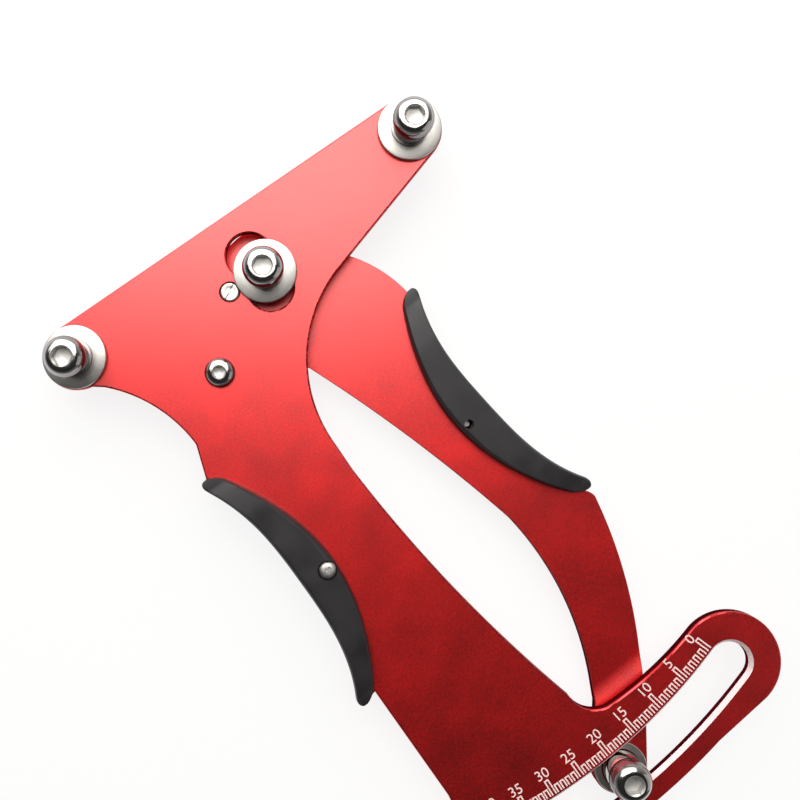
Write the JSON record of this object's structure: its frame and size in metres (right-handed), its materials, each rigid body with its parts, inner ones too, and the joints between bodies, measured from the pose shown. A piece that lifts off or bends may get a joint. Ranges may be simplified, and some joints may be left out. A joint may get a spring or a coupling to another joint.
{
  "type": "spoke tension meter",
  "caption": "Hand squeezed gauge with two fixed posts and a sprung centre post that bends a wheel spoke and reads the bend on a curved scale.",
  "frame": {"origin": "centre of the flat back face of the pivot pin's head, on the pivot axis", "axes": "+X along the line of the two fixed posts, +Y from the scale arm towards the head's upper edge, +Z out of the printed front face"},
  "size_m": [0.1342, 0.209, 0.0305],
  "materials": {
    "anodised_plate": "bead blasted, red anodised",
    "stainless": "polished",
    "washer_steel": "turned and dull polished",
    "spring_wire": "drawn wire",
    "black_grip": "moulded, satin",
    "dark_washer": "blackened"
  },
  "bodies": {
    "frame": {"frame_plate": "anodised_plate", "pivot_pin": "stainless", "pivot_washer": "stainless", "pivot_spacer": "stainless", "torsion_spring": "spring_wire", "spring_anchor_screw": "stainless", "spring_anchor_sleeve": "stainless", "spring_anchor_nut": "stainless", "left_post_screw": "stainless", "left_post_sleeve": "stainless", "left_post_washer": "washer_steel", "left_post_nut": "stainless", "right_post_screw": "stainless", "right_post_sleeve": "stainless", "right_post_washer": "washer_steel", "right_post_nut": "stainless", "left_grip_front": "black_grip", "left_grip_back": "black_grip", "left_grip_screw": "stainless"},
    "lever": {"lever_arm": "anodised_plate", "lever_spring_peg": "stainless", "centre_post_screw": "stainless", "centre_post_sleeve": "stainless", "centre_post_washer": "washer_steel", "centre_post_spacer": "stainless", "centre_post_nut": "stainless", "right_grip_front": "black_grip", "right_grip_back": "black_grip", "right_grip_screw": "stainless", "pointer_bushing": "stainless", "pointer_washer": "dark_washer", "pointer_screw": "stainless", "pointer_nut": "stainless"}
  },
  "joints": [
    {"name": "lever_pivot", "type": "hinge", "parent": "frame", "child": "lever", "pos_m": [0, 0, 0.0044], "axis": [0, 0, -1], "range_deg": [-14.2, 17.4], "stiffness_Nm_per_rad": 0.6, "springref_deg": -52.71, "deforming": ["torsion_spring"]}
  ]
}
